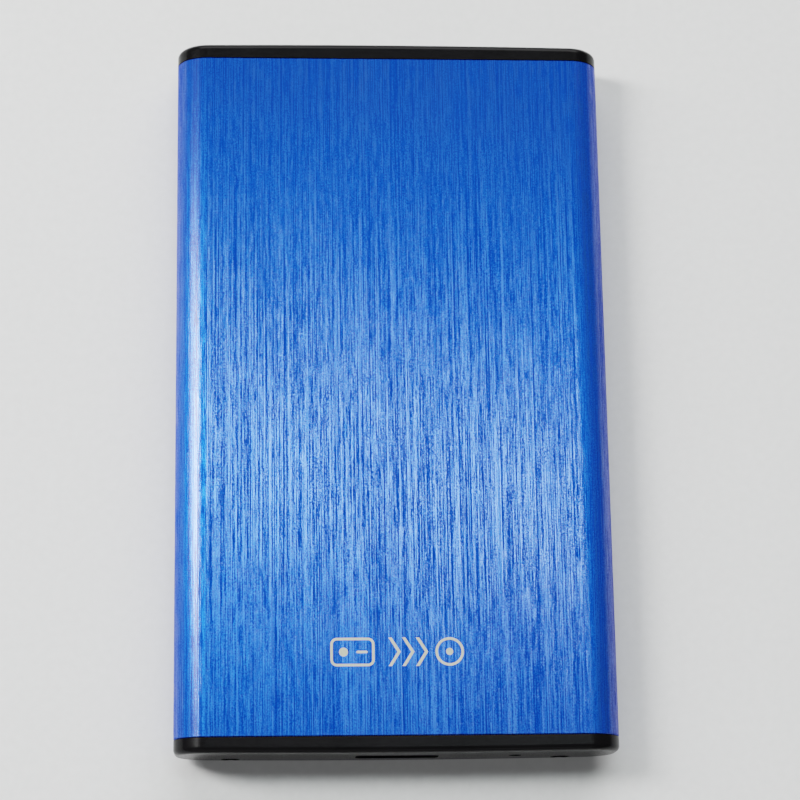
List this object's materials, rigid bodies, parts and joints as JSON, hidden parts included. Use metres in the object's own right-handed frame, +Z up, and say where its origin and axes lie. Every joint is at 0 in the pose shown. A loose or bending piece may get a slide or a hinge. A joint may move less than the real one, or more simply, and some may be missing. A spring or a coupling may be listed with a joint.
{
  "type": "portable hard drive enclosure",
  "caption": "Slim brushed-metal case with black end caps that holds a slide-in hard drive and its USB bridge board.",
  "frame": {"origin": "centre of the underside, on the surface that the case lies on", "axes": "+X across the case to the right, +Y along the case away from the USB socket, +Z up out of the marked top face"},
  "size_m": [0.075, 0.1256, 0.013],
  "materials": {
    "anodised_blue": "brushed, blue anodised",
    "cap_plastic": "moulded, semi-gloss black",
    "screw_black": "black oxide",
    "screw_steel": "zinc plated",
    "foam": "closed-cell foam, matte",
    "film": "thin sheet",
    "clear_plastic": "clear moulding",
    "board_black": "solder mask over copper",
    "board_green": "solder mask over copper",
    "socket_steel": "tin plated",
    "connector_plastic": "moulded",
    "contact_gold": "gold plated",
    "chip_resin": "moulded resin",
    "can_metal": "nickel plated",
    "ferrite": "pressed ferrite",
    "capacitor_ceramic": "fired ceramic",
    "resistor_ceramic": "glazed film on ceramic",
    "led_lens": "moulded resin",
    "cast_aluminium": "die cast, e-coated",
    "cover_steel": "stamped stainless",
    "gasket_rubber": "moulded",
    "label_paper": "blank white label",
    "platter_mirror": "sputtered, polished",
    "hub_aluminium": "turned",
    "motor_steel": "laminated",
    "coil_copper": "enamelled copper wire",
    "magnet_nickel": "nickel plated",
    "ramp_plastic": "moulded",
    "flex_film": "polyimide film",
    "filter_cloth": "felted fibre"
  },
  "bodies": {
    "case": {"sleeve": "anodised_blue", "insulating_film": "film", "ceiling_pads": "foam"},
    "rear_end": {"rear_cap": "cap_plastic", "rear_cap_screws": "screw_black", "rear_buffer": "foam"},
    "disc": {"spindle_hub": "hub_aluminium", "rotor_magnet": "magnet_nickel", "platter": "platter_mirror", "platter_clamp": "hub_aluminium", "clamp_screws": "screw_steel"},
    "head_arm": {"pivot_bearing": "motor_steel", "actuator_arm": "hub_aluminium", "voice_coil": "coil_copper", "head_suspensions": "cover_steel", "head_sliders": "resistor_ceramic"},
    "carriage": {"front_cap": "cap_plastic", "front_cap_screws": "screw_black", "light_pipe": "clear_plastic", "bridge_board": "board_black", "board_screws": "screw_steel", "usb_socket_shell": "socket_steel", "usb_socket_insulator": "connector_plastic", "usb_socket_contacts": "contact_gold", "sata_socket": "connector_plastic", "sata_socket_contacts": "contact_gold", "bridge_chip": "chip_resin", "flash_chip": "chip_resin", "crystal": "can_metal", "power_inductor": "ferrite", "capacitors": "capacitor_ceramic", "resistors": "resistor_ceramic", "status_led": "led_lens", "drive_base": "cast_aluminium", "cover_gasket": "gasket_rubber", "drive_cover": "cover_steel", "cover_screws": "screw_steel", "drive_label": "label_paper", "drive_board": "board_green", "drive_board_screws": "screw_steel", "drive_board_chips": "chip_resin", "sata_plug": "connector_plastic", "sata_plug_contacts": "contact_gold", "jumper_block": "connector_plastic", "spindle_bearing": "motor_steel", "motor_stator": "motor_steel", "stator_coils": "coil_copper", "pivot_shaft": "motor_steel", "lower_yoke": "magnet_nickel", "upper_yoke": "magnet_nickel", "coil_magnets": "magnet_nickel", "load_ramp": "ramp_plastic", "flex_circuit": "flex_film", "air_filter": "filter_cloth"}
  },
  "joints": [
    {"name": "carriage_slide", "type": "slide", "parent": "case", "child": "carriage", "axis": [0, -1, 0], "range_m": [0, 0.125]},
    {"name": "rear_cap_slide", "type": "slide", "parent": "case", "child": "rear_end", "axis": [0, 1, 0], "range_m": [0, 0.015]},
    {"name": "disc_spin", "type": "hinge", "parent": "carriage", "child": "disc", "pos_m": [0, 0.019, 0], "axis": [0, 0, 1], "continuous": true},
    {"name": "head_arm_swing", "type": "hinge", "parent": "carriage", "child": "head_arm", "pos_m": [-0.012, -0.01863, 0], "axis": [0, 0, 1], "range_deg": [0, 32]}
  ]
}
